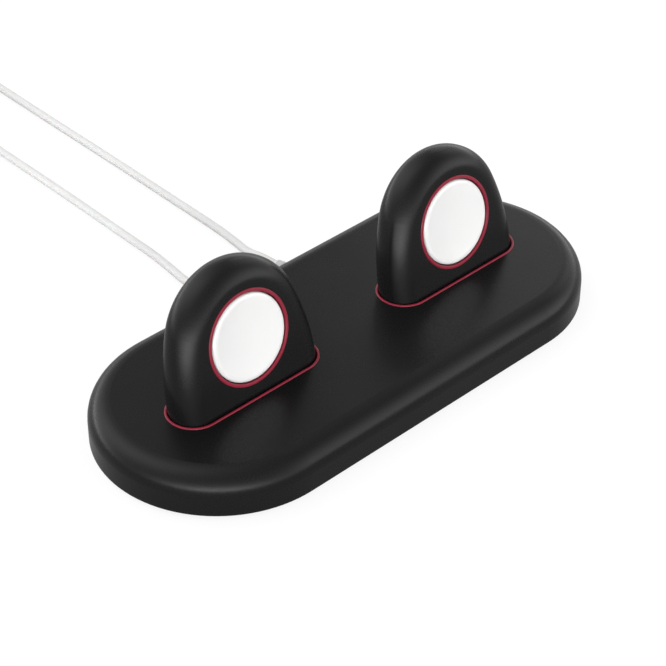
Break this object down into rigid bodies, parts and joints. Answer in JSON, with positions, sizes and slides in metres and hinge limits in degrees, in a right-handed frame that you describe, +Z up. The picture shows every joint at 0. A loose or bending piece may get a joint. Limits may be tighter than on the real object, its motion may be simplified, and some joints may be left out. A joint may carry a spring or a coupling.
{
  "type": "smartwatch stand",
  "caption": "Low stadium-shaped desk stand with leaning arch posts that carry round magnetic charging pucks, each on its own cable to a plug.",
  "frame": {"origin": "middle of the base's underside, on the surface the stand rests on", "axes": "+X along the long axis of the base, to the right seen from the front, +Y to the back where the cables leave, +Z up"},
  "size_m": [0.1844, 0.3099, 0.0559],
  "materials": {
    "shell_black": "satin moulded black plastic, fine texture",
    "post_black": "satin moulded black plastic, fine texture",
    "plate_black": "matt moulded black plastic",
    "pad_rubber": "matt dark grey silicone rubber",
    "trim_red": "crimson moulded trim",
    "screw_steel": "zinc-plated steel screws",
    "ballast_steel": "zinc-plated steel plate",
    "puck_white": "smooth white plastic",
    "carrier_grey": "light grey moulded plastic",
    "ferrite_grey": "dark grey ferrite sheet",
    "coil_copper": "enamelled copper winding",
    "magnet_nickel": "nickel-plated magnet",
    "board_green": "green circuit board with parts",
    "cable_white": "soft white cable jacket",
    "bush_white": "soft white moulded bush",
    "tie_white": "white cable tie",
    "plug_white": "smooth white moulded plug body",
    "plug_steel": "nickel-plated plug shell",
    "tongue_white": "white plug tongue",
    "contact_gold": "gold-plated contacts"
  },
  "bodies": {
    "root": {"anti_slip_pad": "pad_rubber", "base_plate": "plate_black", "base_screws": "screw_steel", "base_shell": "shell_black", "clamp_screws": "screw_steel", "left_ballast_plate": "ballast_steel", "left_cable": "cable_white", "left_cable_clamp": "plate_black", "left_cable_coil": "cable_white", "left_cable_end": "cable_white", "left_cable_tie": "tie_white", "left_foot_ring": "trim_red", "left_inner_lead": "cable_white", "left_outlet_bush": "bush_white", "left_plug_body": "plug_white", "left_plug_contacts": "contact_gold", "left_plug_shell": "plug_steel", "left_plug_tongue": "tongue_white", "left_post": "post_black", "left_puck_back": "puck_white", "left_puck_board": "board_green", "left_puck_cap": "puck_white", "left_puck_carrier": "carrier_grey", "left_puck_coil": "coil_copper", "left_puck_ferrite": "ferrite_grey", "left_puck_magnet": "magnet_nickel", "left_puck_sleeve": "bush_white", "left_seat_ring": "trim_red", "post_screws": "screw_steel", "right_ballast_plate": "ballast_steel", "right_cable": "cable_white", "right_cable_clamp": "plate_black", "right_cable_coil": "cable_white", "right_cable_end": "cable_white", "right_cable_tie": "tie_white", "right_foot_ring": "trim_red", "right_inner_lead": "cable_white", "right_outlet_bush": "bush_white", "right_plug_body": "plug_white", "right_plug_contacts": "contact_gold", "right_plug_shell": "plug_steel", "right_plug_tongue": "tongue_white", "right_post": "post_black", "right_puck_back": "puck_white", "right_puck_board": "board_green", "right_puck_cap": "puck_white", "right_puck_carrier": "carrier_grey", "right_puck_coil": "coil_copper", "right_puck_ferrite": "ferrite_grey", "right_puck_magnet": "magnet_nickel", "right_puck_sleeve": "bush_white", "right_seat_ring": "trim_red"}
  },
  "joints": []
}
